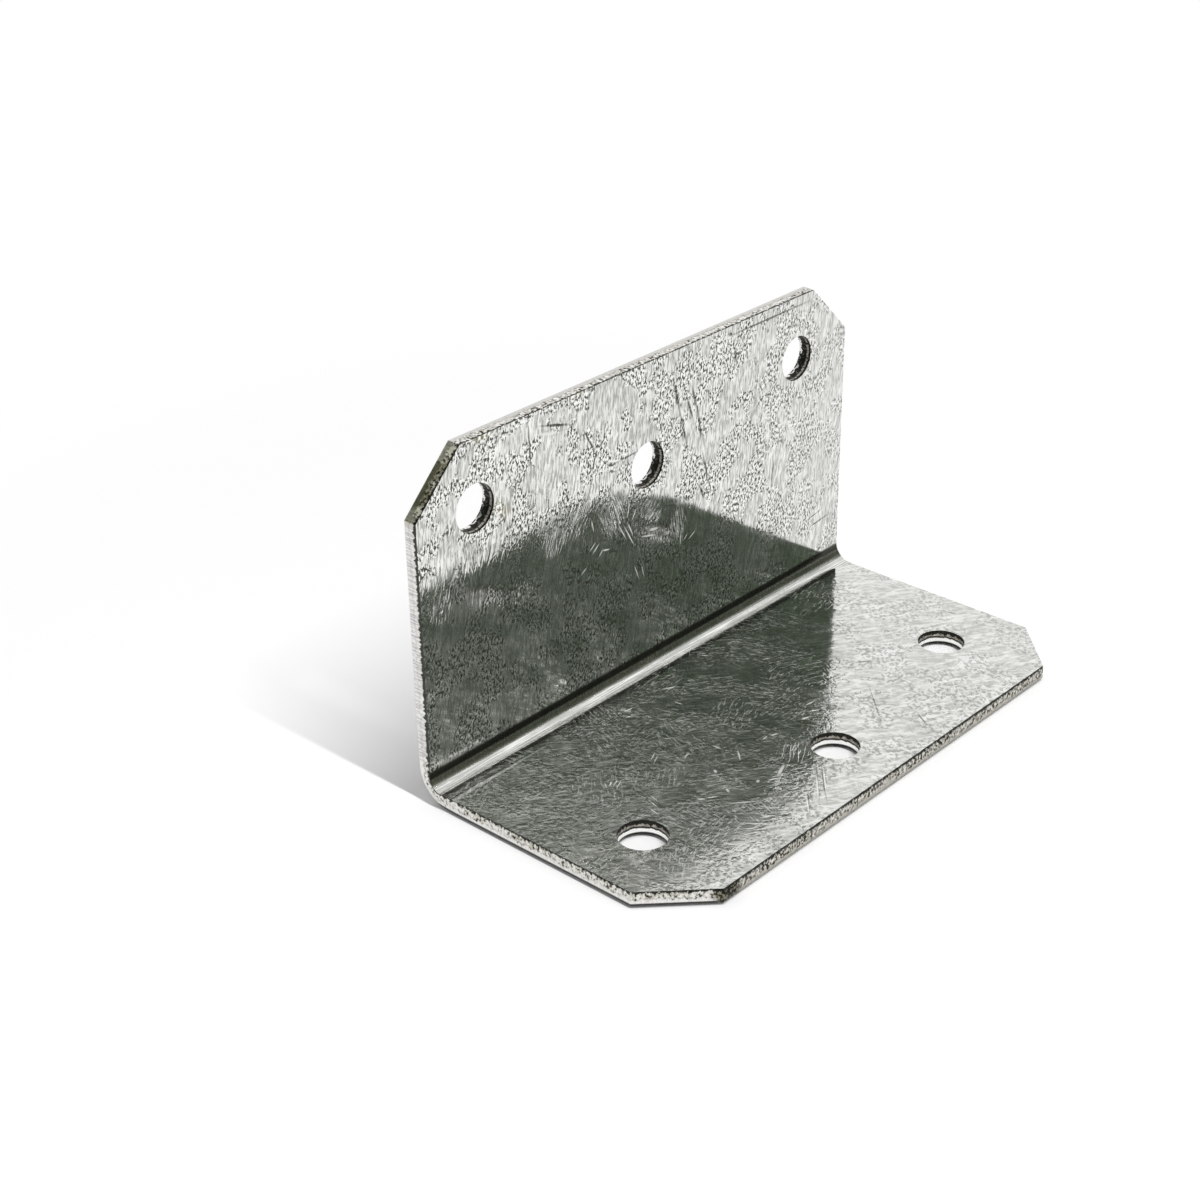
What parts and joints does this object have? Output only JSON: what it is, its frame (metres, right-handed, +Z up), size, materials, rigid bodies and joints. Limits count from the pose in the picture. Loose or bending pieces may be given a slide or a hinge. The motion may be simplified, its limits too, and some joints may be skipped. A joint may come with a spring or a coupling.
{
  "type": "angle bracket",
  "caption": "Folded steel angle bracket with cropped corners and staggered bolt holes in both legs, zinc-coated.",
  "frame": {"origin": "centre of the bounding box's footprint, on the surface that the flat leg rests on", "axes": "+X along the bend, +Y from the flat leg's free edge to the back of the upright leg, +Z up along the upright leg"},
  "size_m": [0.12, 0.0616, 0.0665],
  "materials": {
    "zinc_steel": "bright zinc coat over cold-rolled sheet, half mirror-like, with fine scratches and scuffs; darker cut edges"
  },
  "bodies": {
    "root": {"bracket": "zinc_steel"}
  },
  "joints": []
}
